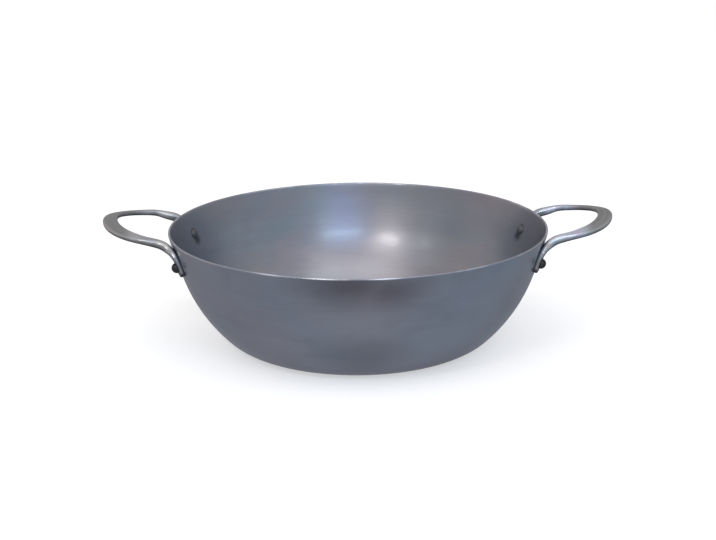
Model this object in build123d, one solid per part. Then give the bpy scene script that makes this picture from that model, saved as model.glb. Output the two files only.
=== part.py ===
"""Two-handled carbon-steel kadai: a pressed sheet bowl with a flat base, and two loop handles of
flattened round bar, each held by two round-head rivets through the bowl's wall.

Millimetres. Origin at the centre of the flat underside, +Z up, +X towards the right-hand handle.
Pieces: one bowl, two handles, four rivets.
"""

import os
from math import cos, degrees, pi, radians, sin, sqrt

from build123d import *

# ---------------------------------------------------------------- driving dimensions
WALL = 1.6            # sheet thickness of the bowl
RIM_R = 141.6         # outer radius of the wall where it meets the rounded rim edge
BASE_R = 78.0         # radius of the flat underside
KNUCKLE_R = 36.0      # outer radius of the bend from base to wall
KNUCKLE_A = 0.775     # angle turned by that bend, radians
SIDE_R = 117.0        # outer radius of the bowed side
SIDE_A = 0.447        # angle turned by the side, radians
LIP_LEAN = 14.0       # lean of the wall from vertical at the rim, degrees

RIVET_AZ = 19.5       # azimuth of each rivet from the handle's centre line, degrees
RIVET_DROP = 17.5     # rivet centre below the rim plane, on the outer face
SHANK_R = 2.5         # rivet shank radius
HOLE_R = 2.52         # hole radius in wall and tab
HEAD_OUT_R = 3.7      # rivet head on the handle side: radius and height
HEAD_OUT_H = 3.9
HEAD_OUT_FOOT = 1.2   # straight foot under that head's dome
HEAD_IN_R = 4.3       # closed head inside the bowl: radius and height
HEAD_IN_H = 2.0

TAB_W = 12.6          # width of the flattened end of a handle leg
TAB_T = 3.0           # its thickness
TAB_BELOW = 7.9       # from the rivet's centre down to the tab's rounded end
LOOP_CX = 143.4       # centre of the handle's loop, from the bowl's axis
LOOP_RX = 41.4        # reach of the loop's centre line from there, outwards
LOOP_RY = 42.4        # and half its width
STATIONS = 121        # evenly spaced sections that the handle's skin runs through

# ---------------------------------------------------------------- bowl profile
t1 = KNUCKLE_A
t2 = KNUCKLE_A + SIDE_A
t3 = radians(90 - LIP_LEAN)
P0 = (BASE_R, 0.0)
P1 = (P0[0] + KNUCKLE_R * sin(t1), KNUCKLE_R * (1 - cos(t1)))
P2 = (P1[0] + SIDE_R * (sin(t2) - sin(t1)), P1[1] + SIDE_R * (cos(t1) - cos(t2)))
LIP_R = (RIM_R - P2[0]) / (sin(t3) - sin(t2))
P3 = (RIM_R, P2[1] + LIP_R * (cos(t2) - cos(t3)))
RIM_Z = P3[1] + WALL / 2 * cos(t3) + WALL / 2     # top of the rounded edge
C1 = (BASE_R, KNUCKLE_R)
C2 = (P1[0] - SIDE_R * sin(t1), P1[1] + SIDE_R * cos(t1))
C3 = (P2[0] - LIP_R * sin(t2), P2[1] + LIP_R * cos(t2))


def on_arc(c, radius, angle):
    """Point of a profile arc where the outer face has turned by angle from the base."""
    return (c[0] + radius * sin(angle), c[1] - radius * cos(angle))


def xz(p):
    return (p[0], 0.0, p[1])


def wall_at(drop):
    """Outer wall radius, height and turn angle at a drop below the rim's top."""
    z = RIM_Z - drop
    lo, hi = 0.0, t3
    for _ in range(60):
        mid = (lo + hi) / 2
        if mid < t1:
            p = on_arc(C1, KNUCKLE_R, mid)
        elif mid < t2:
            p = on_arc(C2, SIDE_R, mid)
        else:
            p = on_arc(C3, LIP_R, mid)
        if p[1] < z:
            lo = mid
        else:
            hi = mid
    return p[0], p[1], (lo + hi) / 2


def outer_edges():
    return [
        Line(xz((0, 0)), xz(P0)),
        ThreePointArc(xz(P0), xz(on_arc(C1, KNUCKLE_R, t1 / 2)), xz(P1)),
        ThreePointArc(xz(P1), xz(on_arc(C2, SIDE_R, (t1 + t2) / 2)), xz(P2)),
        ThreePointArc(xz(P2), xz(on_arc(C3, LIP_R, (t2 + t3) / 2)), xz(P3)),
    ]


def inner_edges():
    """The inner face is the outer one offset by the sheet thickness."""
    q3, q2 = on_arc(C3, LIP_R - WALL, t3), on_arc(C3, LIP_R - WALL, t2)
    q1, q0 = on_arc(C2, SIDE_R - WALL, t1), on_arc(C1, KNUCKLE_R - WALL, 0)
    return [
        ThreePointArc(xz(q3), xz(on_arc(C3, LIP_R - WALL, (t2 + t3) / 2)), xz(q2)),
        ThreePointArc(xz(q2), xz(on_arc(C2, SIDE_R - WALL, (t1 + t2) / 2)), xz(q1)),
        ThreePointArc(xz(q1), xz(on_arc(C1, KNUCKLE_R - WALL, t1 / 2)), xz(q0)),
        Line(xz(q0), xz((0, WALL))),
        Line(xz((0, WALL)), xz((0, 0))),
    ]


def revolved(edges):
    return revolve(make_face(Wire(edges)), axis=Axis.Z, revolution_arc=360)


mid_edge = on_arc(C3, LIP_R - WALL / 2, t3)
edge_top = (mid_edge[0] + WALL / 2 * cos(t3), mid_edge[1] + WALL / 2 * sin(t3))
rim_edge = ThreePointArc(xz(P3), xz(edge_top), xz(on_arc(C3, LIP_R - WALL, t3)))
bowl_blank = revolved(outer_edges() + [rim_edge] + inner_edges())
# the space inside the outer face, used to seat the tabs on the wall
envelope = revolved(outer_edges() + [Line(xz(P3), xz((0, P3[1]))), Line(xz((0, P3[1])), xz((0, 0)))])

# ---------------------------------------------------------------- rivet axes
seat_r, seat_z, seat_a = wall_at(RIVET_DROP)
AXES = {}
for side, sx in (("right", 1), ("left", -1)):
    for end, sy in (("front", -1), ("rear", 1)):
        az = radians(RIVET_AZ)
        point = Vector(sx * seat_r * cos(az), sy * seat_r * sin(az), seat_z)
        out = Vector(sx * sin(seat_a) * cos(az), sy * sin(seat_a) * sin(az), -cos(seat_a))
        AXES[(side, end)] = (point, out.normalized())


def shank_tool(point, out, radius):
    """A cylinder along a rivet's axis, long enough to cross wall and tab."""
    return Plane(origin=point - out * 12, z_dir=out) * Cylinder(radius, 30, align=(Align.CENTER, Align.CENTER, Align.MIN))


# ---------------------------------------------------------------- handle
def natural_spline(ts, ys):
    """Natural cubic spline through (ts, ys), as a function."""
    n = len(ts)
    h = [ts[i + 1] - ts[i] for i in range(n - 1)]
    a = [0.0] * n
    b = [1.0] * n
    c = [0.0] * n
    d = [0.0] * n
    for i in range(1, n - 1):
        a[i], b[i], c[i] = h[i - 1], 2 * (h[i - 1] + h[i]), h[i]
        d[i] = 6 * ((ys[i + 1] - ys[i]) / h[i] - (ys[i] - ys[i - 1]) / h[i - 1])
    for i in range(1, n):
        w = a[i] / b[i - 1]
        b[i] -= w * c[i - 1]
        d[i] -= w * d[i - 1]
    m = [0.0] * n
    m[-1] = d[-1] / b[-1]
    for i in range(n - 2, -1, -1):
        m[i] = (d[i] - c[i] * m[i + 1]) / b[i]

    def at(t):
        i = 0
        while i < n - 2 and t > ts[i + 1]:
            i += 1
        u, v = ts[i + 1] - t, t - ts[i]
        return (m[i] * u**3 + m[i + 1] * v**3) / (6 * h[i]) + (ys[i] / h[i] - m[i] * h[i] / 6) * u + (ys[i + 1] / h[i] - m[i + 1] * h[i] / 6) * v

    return at


def monotone(ts, ys):
    """Monotone cubic through (ts, ys), as a function: no overshoot between the values."""
    n = len(ts)
    h = [ts[i + 1] - ts[i] for i in range(n - 1)]
    s = [(ys[i + 1] - ys[i]) / h[i] for i in range(n - 1)]
    m = [0.0] * n
    for i in range(1, n - 1):
        if s[i - 1] * s[i] > 0:
            w1, w2 = 2 * h[i] + h[i - 1], h[i] + 2 * h[i - 1]
            m[i] = (w1 + w2) / (w1 / s[i - 1] + w2 / s[i])
    m[0], m[-1] = s[0], s[-1]

    def at(t):
        i = 0
        while i < n - 2 and t > ts[i + 1]:
            i += 1
        x = min(1.0, max(0.0, (t - ts[i]) / h[i]))
        a, b = ys[i] * (2 * x**3 - 3 * x * x + 1), ys[i + 1] * (3 * x * x - 2 * x**3)
        return a + b + h[i] * (m[i] * (x**3 - 2 * x * x + x) + m[i + 1] * (x**3 - x * x))

    return at


def loop_point(phi):
    p = radians(phi)
    return LOOP_CX + LOOP_RX * cos(p), LOOP_RY * sin(p)


def on_tab(drop, lift):
    """Point over the wall at the rivet's azimuth, lifted off the outer face along its normal."""
    r, z, a = wall_at(drop)
    r, z = r + lift * sin(a), z - lift * cos(a)
    az = radians(RIVET_AZ)
    return (r * cos(az), r * sin(az), z - RIM_Z)


seat = TAB_T / 2 - 0.2          # the tab is cut 0.2 into the wall's curve so that it beds all over
# x, y, height over the rim's top, width, thickness, corner radius as a share of half the
# thickness, direction of the width (degrees round Z from +X), droop of the outer edge (degrees)
KEYS = [
    (*loop_point(0), 7.3, 10.9, 3.5, 0.82, 0, 8),
    (*loop_point(15), 6.7, 10.9, 3.5, 0.82, 15, 8),
    (*loop_point(30), 5.3, 11.0, 3.5, 0.82, 30, 8),
    (*loop_point(45), 3.8, 10.7, 3.6, 0.82, 45, 8),
    (*loop_point(60), 2.3, 9.9, 3.9, 0.82, 60, 8),
    (*loop_point(75), 0.6, 8.1, 4.7, 0.86, 75, 6),
    (146.1, 40.9, -1.5, 7.4, 6.1, 0.94, 88, 3),
    (141.6, 41.8, -3.0, 7.2, 6.4, 0.96, 94, 0),
    (137.4, 43.0, -5.9, 7.9, 5.8, 0.95, 100, 0),
    (*on_tab(10.3, 1.75), 10.2, 4.2, 0.9, 90 + RIVET_AZ * 0.9, 0),
    (*on_tab(15.0, seat), 12.4, TAB_T, 0.84, 90 + RIVET_AZ, 0),
    (*on_tab(21.0, seat), TAB_W, TAB_T, 0.84, 90 + RIVET_AZ, 0),
    (*on_tab(27.5, seat), TAB_W, TAB_T, 0.84, 90 + RIVET_AZ, 0),
]


def both_sides(keys):
    rows = [(x, -y, z, w, t, n, -a, d) for x, y, z, w, t, n, a, d in reversed(keys[1:])]
    return rows + list(keys)


rows = both_sides(KEYS)
ts = [0.0]
for a, b in zip(rows, rows[1:]):
    ts.append(ts[-1] + sqrt(sum((p - q) ** 2 for p, q in zip(a[:3], b[:3]))))
place = [natural_spline(ts, [r[k] for r in rows]) for k in range(3)]
form = [monotone(ts, [r[k] for r in rows]) for k in range(3, 8)]


def section(t):
    """The bar's rounded-rectangle section across its centre line at t."""
    here = Vector(*(f(t) for f in place)) + Vector(0, 0, RIM_Z)
    e = 0.05
    lo, hi = max(t - e, ts[0]), min(t + e, ts[-1])
    tangent = (Vector(*(f(hi) for f in place)) - Vector(*(f(lo) for f in place))).normalized()
    width, thick, corner, turn, droop = (f(t) for f in form)
    a, d = radians(turn), radians(droop)
    across = Vector(cos(a) * cos(d), sin(a) * cos(d), -sin(d))
    across = (across - tangent * across.dot(tangent)).normalized()
    up = across.cross(tangent)
    w, h = width / 2, thick / 2
    r = corner * min(w, h)
    q = r * (1 - 0.5522847)           # control points of a quarter-round corner

    def pt(u, v):
        return here + across * u + up * v

    return make_face(Wire([
        Line(pt(w, -(h - r)), pt(w, h - r)),
        Bezier(pt(w, h - r), pt(w, h - q), pt(w - q, h), pt(w - r, h)),
        Line(pt(w - r, h), pt(-(w - r), h)),
        Bezier(pt(-(w - r), h), pt(-(w - q), h), pt(-w, h - q), pt(-w, h - r)),
        Line(pt(-w, h - r), pt(-w, -(h - r))),
        Bezier(pt(-w, -(h - r)), pt(-w, -(h - q)), pt(-(w - q), -h), pt(-(w - r), -h)),
        Line(pt(-(w - r), -h), pt(w - r, -h)),
        Bezier(pt(w - r, -h), pt(w - q, -h), pt(w, -(h - q)), pt(w, -(h - r))),
    ]))


stations = [ts[-1] * k / (STATIONS - 1) for k in range(STATIONS)]
bar = loft([section(t) for t in stations], ruled=True)


def tab_end_cutter(point, out):
    """Leaves a round end on a tab: everything below the end arc, a little wider than the tab."""
    down = Vector(0, 0, -1)
    down = (down - out * down.dot(out)).normalized()
    rad = TAB_W / 2 + 0.3
    centre = point + down * (TAB_BELOW - rad)
    frame = Plane(origin=centre, x_dir=down, z_dir=out)
    block = frame * Pos(0, 0, -6) * Box(30, 40, 20, align=(Align.MIN, Align.CENTER, Align.MIN))
    top, soft = TAB_T - 0.2, 1.1          # height of the tab's outer face, rounding of its end edge
    k = soft * (1 - sqrt(0.5))
    disc = frame * revolved([
        Line(xz((0, -6)), xz((rad, -6))),
        Line(xz((rad, -6)), xz((rad, top - soft))),
        ThreePointArc(xz((rad, top - soft)), xz((rad - k, top - k)), xz((rad - soft, top))),
        Line(xz((rad - soft, top)), xz((rad - soft, 14))),
        Line(xz((rad - soft, 14)), xz((0, 14))),
        Line(xz((0, 14)), xz((0, -6))),
    ])
    return block - disc


handle_right = bar
for end in ("front", "rear"):
    handle_right = handle_right - tab_end_cutter(*AXES[("right", end)])
handle_right = handle_right - envelope
SEAT_CUT = 0.06       # the rivet head beds this far into a round seat in the tab's outer face
HEAD_BED = TAB_T - 0.2 - SEAT_CUT
for end in ("front", "rear"):
    point, out = AXES[("right", end)]
    handle_right = handle_right - shank_tool(point, out, HOLE_R)
    bed = Plane(origin=point + out * HEAD_BED, z_dir=out)
    handle_right = handle_right - bed * Cylinder(HEAD_OUT_R + 0.15, 6, align=(Align.CENTER, Align.CENTER, Align.MIN))
handle_right = max(handle_right.solids(), key=lambda s: s.volume)
handle_left = Rotation(0, 0, 180) * handle_right

# ---------------------------------------------------------------- bowl with its holes
bowl = bowl_blank
for point, out in AXES.values():
    bowl = bowl - shank_tool(point, out, HOLE_R)
bowl = max(bowl.solids(), key=lambda s: s.volume)


# ---------------------------------------------------------------- rivets
def dome(radius, height, foot):
    """Profile points of a round head with a short straight foot."""
    rise = height - foot
    ball = (radius**2 + rise**2) / (2 * rise)
    mid_r = radius * 0.62
    return mid_r, foot + sqrt(ball**2 - mid_r**2) - (ball - rise)


def rivet(point, out):
    """One rivet: head over the tab, shank through tab and wall, closed head inside."""
    top = HEAD_BED + 0.01                   # on its seat in the tab
    bottom = -WALL
    sink = 0.4                              # the inner head starts in the sheet and is trimmed to it
    mo = dome(HEAD_OUT_R, HEAD_OUT_H, HEAD_OUT_FOOT)
    mi = dome(HEAD_IN_R, HEAD_IN_H, 0.3)
    pts_out = [(SHANK_R, top), (HEAD_OUT_R, top), (HEAD_OUT_R, top + HEAD_OUT_FOOT)]
    pts_in = [(HEAD_IN_R, bottom - 0.3), (HEAD_IN_R, bottom + sink), (SHANK_R, bottom + sink)]
    edges = [Line(xz(p), xz(q)) for p, q in zip(pts_out, pts_out[1:])]
    edges += [
        ThreePointArc(xz(pts_out[-1]), xz((mo[0], top + mo[1])), xz((0, top + HEAD_OUT_H))),
        Line(xz((0, top + HEAD_OUT_H)), xz((0, bottom - HEAD_IN_H))),
        ThreePointArc(xz((0, bottom - HEAD_IN_H)), xz((mi[0], bottom - mi[1])), xz(pts_in[0])),
    ]
    edges += [Line(xz(p), xz(q)) for p, q in zip(pts_in, pts_in[1:])]
    edges += [Line(xz(pts_in[-1]), xz(pts_out[0]))]
    body = Plane(origin=point, z_dir=out) * revolved(edges)
    body = body - bowl
    return max(body.solids(), key=lambda s: s.volume)


parts = {"bowl": bowl, "handle_left": handle_left, "handle_right": handle_right}
for (side, end), (point, out) in AXES.items():
    parts[f"rivet_{side}_{end}"] = rivet(point, out)

os.makedirs("parts", exist_ok=True)
for name, shape in parts.items():
    shape.label = name
    export_step(shape, f"parts/{name}.step")

print("rim top z", round(RIM_Z, 2), "lip arc radius", round(LIP_R, 1), "wall lean at rivets", round(90 - degrees(seat_a), 1))
print("stations", len(stations), "seat r", round(seat_r, 2), "z", round(seat_z, 2))
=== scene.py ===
"""A two-handled round-bottomed carbon steel pan (kadai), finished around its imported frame."""

import math

import bmesh
import bpy
from mathutils import Matrix, Vector

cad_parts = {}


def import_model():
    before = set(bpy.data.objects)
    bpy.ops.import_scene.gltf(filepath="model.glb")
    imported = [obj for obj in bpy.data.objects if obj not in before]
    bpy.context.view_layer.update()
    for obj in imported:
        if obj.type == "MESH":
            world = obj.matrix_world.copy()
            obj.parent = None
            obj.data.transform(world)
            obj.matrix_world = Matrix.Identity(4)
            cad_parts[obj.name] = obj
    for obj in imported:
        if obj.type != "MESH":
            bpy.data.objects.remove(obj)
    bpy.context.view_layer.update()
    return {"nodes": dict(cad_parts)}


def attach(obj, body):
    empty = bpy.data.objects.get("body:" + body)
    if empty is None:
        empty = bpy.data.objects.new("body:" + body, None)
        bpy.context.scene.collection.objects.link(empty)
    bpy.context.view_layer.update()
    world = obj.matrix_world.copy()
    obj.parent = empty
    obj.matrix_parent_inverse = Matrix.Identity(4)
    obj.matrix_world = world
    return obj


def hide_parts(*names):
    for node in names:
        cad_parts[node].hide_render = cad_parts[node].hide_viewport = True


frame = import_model()

scene = bpy.context.scene
scene.view_settings.view_transform = "Standard"
scene.view_settings.look = "None"

RIM_Z = 0.08865


# ---------------------------------------------------------------- small helpers
def linear(r, g, b):
    """A colour given in 0..255 display values, as the linear values that a shader takes."""
    def one(c):
        c /= 255.0
        return c / 12.92 if c <= 0.04045 else ((c + 0.055) / 1.055) ** 2.4
    return one(r), one(g), one(b), 1.0


class Net:
    """A material's node tree, built by short calls. Every call gives back the socket that the next one takes."""

    def __init__(self, name):
        self.material = bpy.data.materials.new(name)
        self.material.use_nodes = True
        self.tree = self.material.node_tree
        self.tree.nodes.clear()
        self.bsdf = self.add("ShaderNodeBsdfPrincipled")
        out = self.add("ShaderNodeOutputMaterial")
        self.tree.links.new(self.bsdf.outputs["BSDF"], out.inputs["Surface"])
        self.coord = self.add("ShaderNodeTexCoord")

    def add(self, kind, **values):
        n = self.tree.nodes.new(kind)
        for k, v in values.items():
            setattr(n, k, v)
        return n

    def put(self, socket, value):
        if isinstance(value, bpy.types.NodeSocket):
            self.tree.links.new(value, socket)
        elif value is not None:
            socket.default_value = value

    def math(self, op, a, b=None, c=None, clamp=False):
        n = self.add("ShaderNodeMath", operation=op, use_clamp=clamp)
        for s, v in zip(n.inputs, (a, b, c)):
            self.put(s, v)
        return n.outputs[0]

    def vec(self, op, a, b=None):
        n = self.add("ShaderNodeVectorMath", operation=op)
        self.put(n.inputs[0], a)
        if op == "SCALE":
            self.put(n.inputs["Scale"], b)
        else:
            self.put(n.inputs[1], b)
        return n.outputs["Value"] if op in ("LENGTH", "DOT_PRODUCT", "DISTANCE") else n.outputs["Vector"]

    def split(self, v):
        n = self.add("ShaderNodeSeparateXYZ")
        self.put(n.inputs[0], v)
        return n.outputs

    def join(self, x, y, z):
        n = self.add("ShaderNodeCombineXYZ")
        for s, v in zip(n.inputs, (x, y, z)):
            self.put(s, v)
        return n.outputs[0]

    def noise(self, v, scale, detail=2.0, rough=0.5, distortion=0.0):
        n = self.add("ShaderNodeTexNoise")
        self.put(n.inputs["Vector"], v)
        self.put(n.inputs["Scale"], scale)
        self.put(n.inputs["Detail"], detail)
        self.put(n.inputs["Roughness"], rough)
        self.put(n.inputs["Distortion"], distortion)
        return n.outputs["Fac"]

    def span(self, v, a, b, lo=0.0, hi=1.0, smooth=True):
        n = self.add("ShaderNodeMapRange", interpolation_type="SMOOTHSTEP" if smooth else "LINEAR")
        for s, x in zip(n.inputs, (v, a, b, lo, hi)):
            self.put(s, x)
        return n.outputs[0]

    def mix(self, fac, a, b, blend="MIX"):
        n = self.add("ShaderNodeMix", data_type="RGBA", blend_type=blend)
        self.put(n.inputs[0], fac)
        self.put(n.inputs[6], a)
        self.put(n.inputs[7], b)
        return n.outputs[2]

    def blob(self, at, reach):
        """1 at the point `at`, falling softly to 0 on the ellipsoid with the half axes `reach` around it."""
        d = self.vec("SUBTRACT", self.coord.outputs["Object"], at)
        d = self.vec("DIVIDE", d, reach)
        return self.span(self.vec("LENGTH", d), 0.0, 1.0, 1.0, 0.0)

    def bump(self, height, strength, distance, normal=None):
        n = self.add("ShaderNodeBump")
        self.put(n.inputs["Strength"], strength)
        self.put(n.inputs["Distance"], distance)
        self.put(n.inputs["Height"], height)
        self.put(n.inputs["Normal"], normal)
        return n.outputs["Normal"]


# ---------------------------------------------------------------- the bowl's bare carbon steel
def bowl_steel():
    m = Net("bowl_carbon_steel")
    obj = m.coord.outputs["Object"]
    x, y, z = m.split(obj)
    r = m.math("SQRT", m.math("ADD", m.math("MULTIPLY", x, x), m.math("MULTIPLY", y, y)))
    safe = m.math("MAXIMUM", r, 0.001)
    cx, cy = m.math("DIVIDE", x, safe), m.math("DIVIDE", y, safe)
    s = m.math("ADD", r, z)                      # grows along the wall from the middle of the base to the rim
    nx, ny, nz = m.split(m.coord.outputs["Normal"])
    nr = m.math("ADD", m.math("MULTIPLY", nx, cx), m.math("MULTIPLY", ny, cy))
    inside = m.span(m.math("SUBTRACT", nz, nr), -0.15, 0.15)

    def ring(k, across):
        """Coordinates drawn out along the circumference: k waves per turn, `across` per metre of wall."""
        return m.join(m.math("MULTIPLY", cx, k), m.math("MULTIPLY", cy, k), m.math("MULTIPLY", s, across))

    cloud = m.noise(m.vec("MULTIPLY", obj, (9.0, 9.0, 14.0)), 1.0, 3.0, 0.55, 0.4)
    patch = m.noise(m.vec("ADD", m.vec("MULTIPLY", obj, (26.0, 26.0, 34.0)), (3.1, 7.7, 1.9)), 1.0, 2.0, 0.5, 0.3)
    bands = m.noise(ring(1.3, 60.0), 1.0, 3.0, 0.6)
    streaks = m.noise(ring(5.0, 700.0), 1.0, 3.0, 0.6)
    hairs = m.noise(ring(16.0, 3200.0), 1.0, 2.0, 0.6)
    grain = m.noise(obj, 2600.0, 2.0, 0.6)

    outer = m.mix(m.span(cloud, 0.36, 0.64), linear(156, 168, 184), linear(162, 165, 180))
    inner = m.mix(m.span(cloud, 0.38, 0.62), linear(148, 156, 164), linear(158, 155, 162))
    colour = m.mix(inside, outer, inner)
    colour = m.mix(m.math("MULTIPLY", m.span(patch, 0.45, 0.75), 0.35), colour, linear(138, 142, 156))
    shade = m.math("ADD", m.span(bands, 0.25, 0.75, 0.95, 1.05, False), m.span(streaks, 0.3, 0.7, -0.03, 0.03, False))
    colour = m.mix(1.0, colour, m.join(shade, shade, shade), "MULTIPLY")

    # a darker patch under the front rim, painted in as two soft blobs on the outer wall
    front_dark_patch = m.math("MAXIMUM", m.blob((-0.008, -0.140, 0.085), (0.056, 0.05, 0.030)), m.math("MULTIPLY", m.blob((0.018, -0.138, 0.079), (0.045, 0.05, 0.022)), 0.8))
    front_dark_patch = m.math("MULTIPLY", front_dark_patch, m.math("SUBTRACT", 1.0, inside))
    colour = m.mix(m.math("MULTIPLY", front_dark_patch, m.span(cloud, 0.2, 0.8, 0.8, 1.0)), colour, m.mix(1.0, colour, (0.38, 0.32, 0.34, 1.0), "MULTIPLY"))
    film_and_reflection_tint = m.math("MULTIPLY", m.blob((-0.009, 0.130, 0.064), (0.030, 0.05, 0.050)), inside)      # blue-violet tint on the rear wall: partly oxide film, partly painted colour of the blue lamp's reflection, placed where that reflection falls
    colour = m.mix(m.math("MULTIPLY", film_and_reflection_tint, 0.8), colour, m.mix(1.0, colour, (0.86, 0.87, 1.06, 1.0), "MULTIPLY"))
    # painted shade: darker low on the outer wall towards the right front
    low_painted_shade = m.math("MULTIPLY", m.blob((0.066, -0.075, 0.008), (0.05, 0.05, 0.02)), m.math("SUBTRACT", 1.0, inside))
    colour = m.mix(m.math("MULTIPLY", low_painted_shade, 0.8), colour, m.mix(1.0, colour, (0.72, 0.73, 0.76, 1.0), "MULTIPLY"))
    foot_painted_shade = m.math("MULTIPLY", m.span(z, 0.001, 0.014, 1.0, 0.0), m.math("SUBTRACT", 1.0, inside))   # painted shade, darker towards the base
    colour = m.mix(foot_painted_shade, colour, m.mix(1.0, colour, (0.55, 0.55, 0.59, 1.0), "MULTIPLY"))
    edge = m.span(z, RIM_Z - 0.0014, RIM_Z - 0.0004)      # the cut edge, ground round and a little brighter, with a painted highlight along it
    rim_glint = m.math("MULTIPLY", m.span(m.noise(m.join(m.math("MULTIPLY", cx, 9.0), m.math("MULTIPLY", cy, 9.0), 4.7), 1.0, 1.0, 0.5), 0.50, 0.66), 0.5)
    for bx, by, reach in ((-0.061, -0.1273, 0.019), (-0.025, -0.1388, 0.020), (0.016, -0.1401, 0.017)):      # painted highlights: three bright glints on the edge at the front
        rim_glint = m.math("MAXIMUM", rim_glint, m.blob((bx, by, RIM_Z), (reach, reach, 0.01)))
    colour = m.mix(m.math("MULTIPLY", edge, m.span(rim_glint, 0.0, 1.0, 0.40, 1.0, False)), colour, m.mix(rim_glint, linear(176, 178, 192), linear(236, 236, 246)))
    for sx in (1, -1):                                      # painted shadow under the rivet heads inside
        for sy in (1, -1):
            colour = m.mix(m.math("MULTIPLY", m.blob((sx * 0.1262, sy * 0.0462, 0.0662), (0.0076, 0.0076, 0.0060)), 0.95), colour, linear(40, 42, 46))
    m.put(m.bsdf.inputs["Base Color"], colour)
    m.bsdf.inputs["Metallic"].default_value = 1.0
    m.bsdf.inputs["Coat Weight"].default_value = 0.8
    m.bsdf.inputs["Coat Roughness"].default_value = 0.19
    rough = m.math("ADD", m.span(cloud, 0.3, 0.7, 0.30, 0.35), m.span(hairs, 0.3, 0.7, -0.03, 0.03, False))
    m.put(m.bsdf.inputs["Roughness"], rough)
    height = m.math("ADD", m.math("MULTIPLY", streaks, 0.6), m.math("ADD", m.math("MULTIPLY", hairs, 0.25), m.math("MULTIPLY", grain, 0.15)))
    m.put(m.bsdf.inputs["Normal"], m.bump(height, 0.12, 0.0004))
    return m.material


# ---------------------------------------------------------------- the handles' brighter steel
def handle_steel():
    m = Net("handle_steel")
    obj = m.coord.outputs["Object"]
    x, y, z = m.split(obj)
    grip = m.span(m.math("ABSOLUTE", x), 0.161, 0.173)
    cloud = m.noise(obj, 60.0, 2.0, 0.5)
    grain = m.noise(obj, 1500.0, 3.0, 0.65)
    fine = m.noise(obj, 4200.0, 2.0, 0.6)
    nx, ny, nz = m.split(m.coord.outputs["Normal"])
    past = m.math("MAXIMUM", m.math("SUBTRACT", m.math("ABSOLUTE", x), 0.1434), 0.0)
    across = m.math("SQRT", m.math("ADD", m.math("MULTIPLY", past, past), m.math("MULTIPLY", y, y)))   # constant along the bar
    brushed = m.noise(m.join(m.math("MULTIPLY", across, 1300.0), m.math("MULTIPLY", x, 60.0), m.math("MULTIPLY", z, 90.0)), 1.0, 3.0, 0.65, 0.3)
    broad = m.noise(m.join(m.math("MULTIPLY", across, 420.0), m.math("MULTIPLY", x, 40.0), m.math("MULTIPLY", z, 60.0)), 1.0, 2.0, 0.5, 0.2)
    colour = m.mix(m.span(cloud, 0.35, 0.65), linear(192, 192, 192), linear(178, 179, 184))
    # painted light: the right handle's steel made half again as light and a little bluer, the left a little lighter
    # and warmer, standing in for light they reflect
    colour = m.mix(m.span(x, 0.130, 0.150), colour, m.mix(1.0, colour, (1.48, 1.50, 1.58, 1.0), "MULTIPLY"))
    colour = m.mix(m.span(x, -0.130, -0.150), colour, m.mix(1.0, colour, (1.14, 1.13, 1.12, 1.0), "MULTIPLY"))
    heat = m.noise(m.vec("ADD", m.vec("MULTIPLY", obj, (150.0, 190.0, 190.0)), (2.3, 5.1, 8.8)), 1.0, 2.0, 0.5, 0.4)
    tinted = m.mix(m.span(heat, 0.38, 0.60), m.mix(1.0, colour, (0.78, 1.0, 1.0, 1.0), "MULTIPLY"), m.mix(1.0, colour, (0.92, 0.82, 1.12, 1.0), "MULTIPLY"))
    colour = m.mix(m.math("MULTIPLY", m.span(x, 0.130, 0.150), 0.55), colour, tinted)
    colour = m.mix(grip, colour, linear(160, 160, 160))
    # painted highlight: a thin light line along the grips' outer edge
    colour = m.mix(m.math("MULTIPLY", m.span(across, 0.0452, 0.0466), m.math("MULTIPLY", grip, 0.45)), colour, linear(206, 206, 208))
    # painted shade: surfaces facing down made darker
    colour = m.mix(m.span(nz, 0.15, -0.45), colour, m.mix(1.0, colour, (0.32, 0.32, 0.34, 1.0), "MULTIPLY"))
    # painted shadow: the tabs' lower ends darkened
    colour = m.mix(m.span(z, 0.0668, 0.0646), colour, linear(52, 52, 56))
    speck = m.math("ADD", m.span(grain, 0.3, 0.7, 0.93, 1.07, False), m.math("ADD", m.span(brushed, 0.3, 0.7, -0.15, 0.15, False), m.span(broad, 0.3, 0.7, -0.07, 0.07, False)))
    colour = m.mix(1.0, colour, m.join(speck, speck, speck), "MULTIPLY")
    m.put(m.bsdf.inputs["Base Color"], colour)
    m.bsdf.inputs["Metallic"].default_value = 1.0
    m.put(m.bsdf.inputs["Roughness"], m.math("ADD", m.math("MULTIPLY", grip, 0.18), m.span(grain, 0.3, 0.7, 0.26, 0.34, False)))
    m.put(m.bsdf.inputs["Normal"], m.bump(m.math("ADD", m.math("ADD", m.math("MULTIPLY", grain, 0.5), m.math("MULTIPLY", fine, 0.3)), m.math("MULTIPLY", brushed, 0.9)), 0.22, 0.0003))
    return m.material


# ---------------------------------------------------------------- the rivets' dark steel
def rivet_steel():
    m = Net("rivet_dark_steel")
    obj = m.coord.outputs["Object"]
    grain = m.noise(obj, 1800.0, 3.0, 0.6)
    x, y, z = m.split(obj)
    r = m.math("SQRT", m.math("ADD", m.math("MULTIPLY", x, x), m.math("MULTIPLY", y, y)))
    dark = m.mix(m.span(grain, 0.3, 0.7), linear(60, 60, 62), linear(92, 92, 94))
    plain = m.mix(m.span(grain, 0.3, 0.7), linear(106, 110, 112), linear(122, 126, 128))
    colour = m.mix(m.span(r, 0.1350, 0.1365), plain, dark)
    m.put(m.bsdf.inputs["Base Color"], colour)
    m.bsdf.inputs["Metallic"].default_value = 1.0
    m.put(m.bsdf.inputs["Roughness"], m.span(grain, 0.3, 0.7, 0.38, 0.5, False))
    m.put(m.bsdf.inputs["Normal"], m.bump(grain, 0.2, 0.0003))
    return m.material


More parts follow.
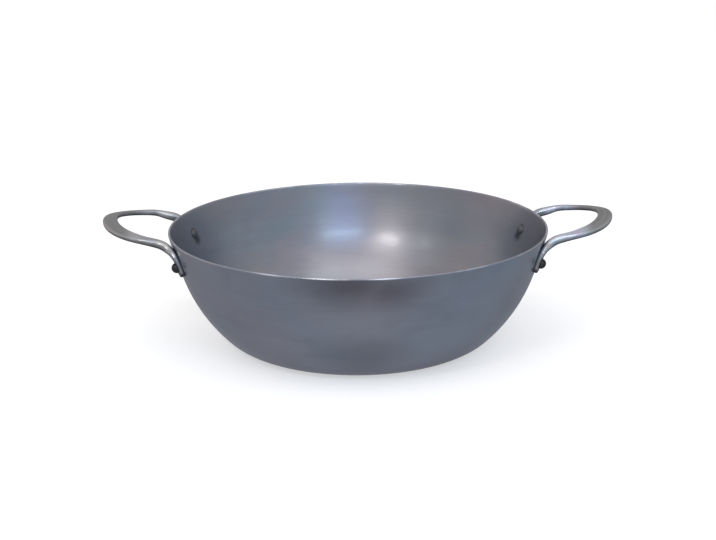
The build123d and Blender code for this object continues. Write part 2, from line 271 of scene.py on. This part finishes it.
def wear(node, material):
    """Puts a material in every slot of a CAD node."""
    ob = frame["nodes"][node]
    if not ob.material_slots:
        ob.data.materials.append(material)
    for slot in ob.material_slots:
        slot.link = "OBJECT"
        slot.material = material
    return ob


bowl_mat, handle_mat, rivet_mat = bowl_steel(), handle_steel(), rivet_steel()
for name in frame["nodes"]:
    wear(name, bowl_mat if name == "bowl" else handle_mat if name.startswith("handle") else rivet_mat)
    if name.startswith("rivet"):                            # closes the hairline slivers of its mesh
        weld = bpy.data.objects[name].modifiers.new("weld", "WELD")
        weld.merge_threshold = 2e-6


# ---------------------------------------------------------------- the bowl as a finely turned shell
WALL, RIM_EDGE_R, BASE_R = 1.6, 141.6, 78.0
KNUCKLE_R, KNUCKLE_A, SIDE_R, SIDE_A, LIP_LEAN = 36.0, 0.775, 117.0, 0.447, 14.0
RIVET_AZ, RIVET_DROP, HOLE_R = 19.5, 17.5, 2.52


def profile():
    """The sheet's outline from the middle of the underside, up the outer face, over the rounded edge and down the inner face. Millimetres."""
    t1, t2, t3 = KNUCKLE_A, KNUCKLE_A + SIDE_A, math.radians(90 - LIP_LEAN)
    p1 = (BASE_R + KNUCKLE_R * math.sin(t1), KNUCKLE_R * (1 - math.cos(t1)))
    p2 = (p1[0] + SIDE_R * (math.sin(t2) - math.sin(t1)), p1[1] + SIDE_R * (math.cos(t1) - math.cos(t2)))
    lip = (RIM_EDGE_R - p2[0]) / (math.sin(t3) - math.sin(t2))
    arcs = [
        ((BASE_R, KNUCKLE_R), KNUCKLE_R, 0.0, t1, 22),
        ((p1[0] - SIDE_R * math.sin(t1), p1[1] + SIDE_R * math.cos(t1)), SIDE_R, t1, t2, 18),
        ((p2[0] - lip * math.sin(t2), p2[1] + lip * math.cos(t2)), lip, t2, t3, 14),
    ]
    outer = [(r, 0.0) for r in (0.0, 6.0, 16.0, 28.0, 40.0, 52.0, 63.0, 72.0)]
    inner = [(r, WALL) for r in (0.0, 6.0, 16.0, 28.0, 40.0, 52.0, 63.0, 72.0)]
    for c, rad, a, b, n in arcs:
        for i in range(n + (c[0] == arcs[2][0][0] and rad == lip)):
            t = a + (b - a) * i / n
            outer.append((c[0] + rad * math.sin(t), c[1] - rad * math.cos(t)))
            inner.append((c[0] + (rad - WALL) * math.sin(t), c[1] - (rad - WALL) * math.cos(t)))
    c = arcs[2][0]
    mid = (c[0] + (lip - WALL / 2) * math.sin(t3), c[1] - (lip - WALL / 2) * math.cos(t3))
    edge = []
    for i in range(1, 12):
        t = math.pi * i / 12           # from the outer face over the top to the inner one
        along, over = math.cos(t) * WALL / 2, math.sin(t) * WALL / 2
        edge.append((mid[0] + along * math.sin(t3) + over * math.cos(t3), mid[1] - along * math.cos(t3) + over * math.sin(t3)))
    return outer, edge, inner, (arcs, lip, t3)


def turned_bowl(material, turns=480):
    outer, edge, inner, (arcs, lip, t3) = profile()
    line = outer + edge + inner[::-1]
    bm = bmesh.new()
    rings = []
    for r, z in line:
        if r == 0.0:
            rings.append([bm.verts.new((0.0, 0.0, z / 1000))])
            continue
        rings.append([
            bm.verts.new((r / 1000 * math.cos(2 * math.pi * k / turns), r / 1000 * math.sin(2 * math.pi * k / turns), z / 1000))
            for k in range(turns)
        ])
    for a, b in zip(rings, rings[1:]):
        for k in range(turns):
            j = (k + 1) % turns
            if len(a) == 1:
                bm.faces.new((a[0], b[j], b[k]))
            elif len(b) == 1:
                bm.faces.new((a[k], a[j], b[0]))
            else:
                bm.faces.new((a[k], a[j], b[j], b[k]))
    bmesh.ops.recalc_face_normals(bm, faces=bm.faces)
    mesh = bpy.data.meshes.new("bowl_shell")
    bm.to_mesh(mesh)
    bm.free()
    ob = bpy.data.objects.new("bowl_shell", mesh)
    scene.collection.objects.link(ob)

    # the four rivet holes, bored square to the wall
    top = max(z for _, z in line)
    c = arcs[2][0]
    z_seat = top - RIVET_DROP
    t = math.acos((c[1] - z_seat) / lip)
    r_seat = c[0] + lip * math.sin(t)
    bore = bmesh.new()
    for sx in (1, -1):
        for sy in (1, -1):
            az = math.radians(RIVET_AZ)
            out = Vector((sx * math.sin(t) * math.cos(az), sy * math.sin(t) * math.sin(az), -math.cos(t)))
            at = Vector((sx * r_seat * math.cos(az), sy * r_seat * math.sin(az), z_seat)) / 1000
            turn = out.to_track_quat("Z", "Y").to_matrix().to_4x4()
            bmesh.ops.create_cone(bore, cap_ends=True, segments=48, radius1=HOLE_R / 1000, radius2=HOLE_R / 1000, depth=0.012,
                                  matrix=Matrix.Translation(at) @ turn)
    tool = bpy.data.objects.new("bores", bpy.data.meshes.new("bores"))
    bore.to_mesh(tool.data)
    bore.free()
    scene.collection.objects.link(tool)
    cut = ob.modifiers.new("bores", "BOOLEAN")
    cut.operation, cut.solver, cut.object = "DIFFERENCE", "EXACT", tool
    bpy.context.view_layer.update()
    whole = bpy.data.meshes.new_from_object(ob.evaluated_get(bpy.context.evaluated_depsgraph_get()))
    ob.modifiers.clear()
    ob.data = whole
    whole.name = "bowl_shell_bored"
    tidy = bmesh.new()                       # no slivers left round the bored holes
    tidy.from_mesh(whole)
    bmesh.ops.remove_doubles(tidy, verts=tidy.verts, dist=2e-6)
    bmesh.ops.dissolve_degenerate(tidy, edges=tidy.edges, dist=2e-6)
    bmesh.ops.triangulate(tidy, faces=[f for f in tidy.faces if len(f.verts) > 4], quad_method="BEAUTY", ngon_method="BEAUTY")
    bmesh.ops.dissolve_degenerate(tidy, edges=tidy.edges, dist=2e-6)
    bmesh.ops.recalc_face_normals(tidy, faces=tidy.faces)
    tidy.to_mesh(whole)
    tidy.free()
    bpy.data.objects.remove(tool)
    bpy.data.meshes.remove(mesh)
    whole.materials.clear()
    whole.materials.append(material)
    for f in whole.polygons:
        f.use_smooth = True
        f.material_index = 0
    whole.set_sharp_from_angle(angle=math.radians(40))
    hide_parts("bowl")
    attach(ob, "root")
    return ob


turned_bowl(bowl_mat)


# ---------------------------------------------------------------- the floor
def floor():
    mesh = bpy.data.meshes.new("floor")
    n, big = 64, 9.0
    ring = [(big * math.cos(2 * math.pi * i / n), big * math.sin(2 * math.pi * i / n), 0.0) for i in range(n)]
    mesh.from_pydata(ring, [], [list(range(n))])
    ob = bpy.data.objects.new("floor", mesh)
    scene.collection.objects.link(ob)
    mat = bpy.data.materials.new("floor_paper")
    mat.use_nodes = True
    b = mat.node_tree.nodes["Principled BSDF"]
    b.inputs["Base Color"].default_value = (0.86, 0.86, 0.86, 1)
    b.inputs["Roughness"].default_value = 0.9
    b.inputs["Specular IOR Level"].default_value = 0.1
    b.inputs["Emission Color"].default_value = (1, 1, 1, 1)
    b.inputs["Emission Strength"].default_value = 0.5
    mesh.materials.append(mat)
    ob.visible_glossy = False
    return ob


floor()


def backdrop():
    """White all round beyond the floor. It's for the camera alone, and gives and takes no light."""
    mesh = bpy.data.meshes.new("backdrop")
    bm = bmesh.new()
    bmesh.ops.create_uvsphere(bm, u_segments=48, v_segments=24, radius=20.0)
    bmesh.ops.reverse_faces(bm, faces=bm.faces)
    bm.to_mesh(mesh)
    bm.free()
    ob = bpy.data.objects.new("backdrop", mesh)
    scene.collection.objects.link(ob)
    mat = bpy.data.materials.new("backdrop_white")
    mat.use_nodes = True
    b = mat.node_tree.nodes["Principled BSDF"]
    b.inputs["Base Color"].default_value = (0, 0, 0, 1)
    b.inputs["Roughness"].default_value = 1.0
    b.inputs["Specular IOR Level"].default_value = 0.0
    b.inputs["Emission Color"].default_value = (1, 1, 1, 1)
    b.inputs["Emission Strength"].default_value = 1.0
    mesh.materials.append(mat)
    ob.visible_diffuse = ob.visible_glossy = ob.visible_transmission = ob.visible_shadow = ob.visible_volume_scatter = False


backdrop()


# ---------------------------------------------------------------- light
def world():
    """A pale studio: lighter above, dimmer below and behind, with a few weak tints."""
    w = bpy.data.worlds.new("studio")
    scene.world = w
    w.use_nodes = True
    t = w.node_tree
    t.nodes.clear()

    def node(kind, **values):
        n = t.nodes.new(kind)
        for k, v in values.items():
            setattr(n, k, v)
        return n

    def near(way, inner, outer):
        """1 along `way`, falling to 0 between the two angles from it, in degrees."""
        dot = node("ShaderNodeVectorMath", operation="DOT_PRODUCT")
        t.links.new(co.outputs["Generated"], dot.inputs[0])
        dot.inputs[1].default_value = Vector(way).normalized()
        fall = node("ShaderNodeMapRange", interpolation_type="SMOOTHSTEP")
        fall.inputs["From Min"].default_value = math.cos(math.radians(outer))
        fall.inputs["From Max"].default_value = math.cos(math.radians(inner))
        t.links.new(dot.outputs["Value"], fall.inputs["Value"])
        return fall.outputs[0]

    def tint(colour, amount, by):
        mix = node("ShaderNodeMix", data_type="RGBA", blend_type="MULTIPLY")
        t.links.new(amount, mix.inputs[0])
        t.links.new(colour, mix.inputs[6])
        mix.inputs[7].default_value = (*by, 1.0)
        return mix.outputs[2]

    out = node("ShaderNodeOutputWorld")
    bg = node("ShaderNodeBackground")
    ramp = node("ShaderNodeValToRGB")
    sep = node("ShaderNodeSeparateXYZ")
    rng = node("ShaderNodeMapRange")
    co = node("ShaderNodeTexCoord")
    t.links.new(co.outputs["Generated"], sep.inputs[0])
    rng.inputs["From Min"].default_value = -1.0
    rng.inputs["From Max"].default_value = 1.0
    t.links.new(sep.outputs[2], rng.inputs["Value"])
    t.links.new(rng.outputs[0], ramp.inputs["Fac"])
    e = ramp.color_ramp.elements
    e[0].position, e[0].color = 0.0, (0.27, 0.27, 0.285, 1)
    e[1].position, e[1].color = 1.0, (0.60, 0.60, 0.60, 1)
    for p, c in ((0.035, (0.455, 0.465, 0.48, 1)), (0.12, (0.48, 0.48, 0.49, 1)), (0.30, (0.44, 0.44, 0.45, 1)), (0.47, (0.42, 0.42, 0.43, 1)), (0.53, (0.58, 0.58, 0.59, 1))):
        k = e.new(p)
        k.color = c
    colour = tint(ramp.outputs["Color"], near((1, 0.1, -0.35), 20, 80), (0.74, 0.84, 0.90))
    colour = tint(colour, near((-1, 0.0, -0.35), 20, 80), (0.80, 0.79, 0.82))
    colour = tint(colour, near((0, 1, -0.3), 20, 70), (0.75, 0.75, 0.77))
    colour = tint(colour, near((0.6, -0.75, 0.25), 10, 45), (0.84, 0.95, 1.03))
    colour = tint(colour, near((-0.75, -0.6, 0.28), 10, 40), (0.88, 1.01, 1.03))
    colour = tint(colour, near((-1, 0.3, 0.12), 10, 45), (1.35, 1.18, 1.12))
    colour = tint(colour, near((0.8, 0.6, 0.10), 10, 50), (1.02, 0.91, 0.89))
    colour = tint(colour, near((0, 0.72, -0.69), 10, 45), (0.78, 0.78, 0.82))
    colour = tint(colour, near((0.75, -0.3, 0.55), 10, 45), (1.18, 1.12, 1.14))
    colour = tint(colour, near((-0.35, -0.85, 0.30), 5, 32), (0.74, 0.72, 0.76))
    t.links.new(colour, bg.inputs["Color"])
    bg.inputs["Strength"].default_value = 1.0
    t.links.new(bg.outputs[0], out.inputs["Surface"])


def panel(name, where, target, size, power, colour, shape="RECTANGLE", size_y=None):
    d = bpy.data.lights.new(name, "AREA")
    d.shape = shape
    d.size = size
    if size_y:
        d.size_y = size_y
    d.energy = power
    d.color = colour
    ob = bpy.data.objects.new(name, d)
    scene.collection.objects.link(ob)
    where, target = Vector(where), Vector(target)
    ob.matrix_world = Matrix.Translation(where) @ (target - where).to_track_quat("-Z", "Y").to_matrix().to_4x4()
    return ob


def lamp(name, az, el, far, size, power, colour, size_y=None, at=(0.0, 0.1, 0.06)):
    """A soft panel seen from the bowl at azimuth az (0 towards the camera, growing to the right) and elevation el."""
    a, e = math.radians(az), math.radians(el)
    way = Vector((math.sin(a) * math.cos(e), -math.cos(a) * math.cos(e), math.sin(e)))
    at = Vector(at)
    return panel(name, at + way * far, at, size, power, colour, "ELLIPSE" if size_y is None else "RECTANGLE", size_y or size)


world()
lamp("key_warm", -24, 35, 1.5, 0.32, 1.75, (1.0, 0.97, 0.93), 0.13)
lamp("fill_blue", 11, 31, 1.5, 0.66, 1.80, (0.54, 0.79, 1.0), 0.05)
lamp("window_violet", 11, 15, 1.7, 0.05, 0.08, (0.50, 0.50, 1.0), 0.24)
lamp("side_cool", -53, 32, 1.6, 0.12, 0.25, (0.85, 0.92, 1.0))
lamp("overhead", 3, 64, 1.5, 1.5, 3.0, (1.0, 0.93, 0.94), 0.7)


# ---------------------------------------------------------------- camera
def camera():
    tilt, yaw, away = math.radians(14.66), math.radians(0.6), 1.100
    back = Vector((-math.cos(tilt) * math.sin(yaw), -math.cos(tilt) * math.cos(yaw), math.sin(tilt)))
    right = Vector((math.cos(yaw), -math.sin(yaw), 0.0))
    up = back.cross(right)
    turn = Matrix((right, up, back)).transposed()
    # The rim's centre stands 45.1 pixels above the middle of the frame and 0.4 to its right.
    f = 1465.0
    turn = turn @ Matrix.Rotation(-math.atan(45.1 / f), 3, "X") @ Matrix.Rotation(math.atan(0.4 / f), 3, "Y")
    turn = turn @ Matrix.Rotation(-math.radians(0.53), 3, "Z")
    cam = bpy.data.cameras.new("camera")
    cam.sensor_width = 36.0
    cam.lens = f / 716.0 * 36.0
    cam.clip_start, cam.clip_end = 0.02, 60.0
    ob = bpy.data.objects.new("camera", cam)
    scene.collection.objects.link(ob)
    ob.matrix_world = Matrix.Translation(Vector((0, 0, RIM_Z)) + away * back) @ turn.to_4x4()
    scene.camera = ob


camera()
